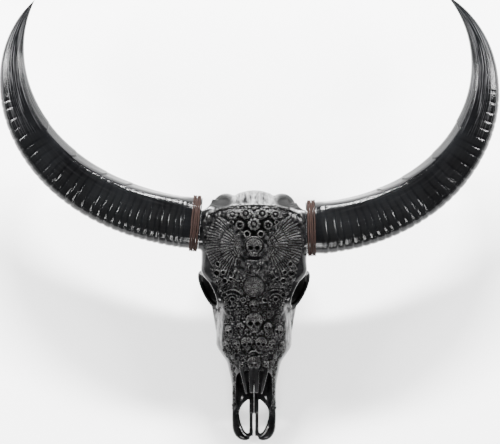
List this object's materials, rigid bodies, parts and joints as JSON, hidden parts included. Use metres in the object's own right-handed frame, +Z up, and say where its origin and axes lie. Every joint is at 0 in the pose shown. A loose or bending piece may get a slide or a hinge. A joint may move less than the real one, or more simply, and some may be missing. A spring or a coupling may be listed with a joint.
{
  "type": "animal skull",
  "caption": "Horned buffalo skull lying forehead up, with long curved ridged horns, cord bindings at the horn necks, open nose and palate windows, and cheek teeth.",
  "frame": {"origin": "centre of the bounding box in plan, on the floor the skull lies on", "axes": "+Z up out of the forehead side, -Y towards the tip of the nose, +X towards the skull's right horn as seen from above with the nose towards the viewer"},
  "size_m": [1.023, 0.9126, 0.2144],
  "materials": {
    "bone": "charcoal bone, carved dull on the forehead and polished on the sides",
    "horn": "polished near-black horn",
    "cord": "brown twisted plant-fibre cord"
  },
  "bodies": {
    "root": {"cranium": "bone", "nasal_bones": "bone", "premaxilla_left": "bone", "premaxilla_right": "bone", "horn_left": "horn", "horn_right": "horn", "binding_left": "cord", "binding_right": "cord"}
  },
  "joints": []
}
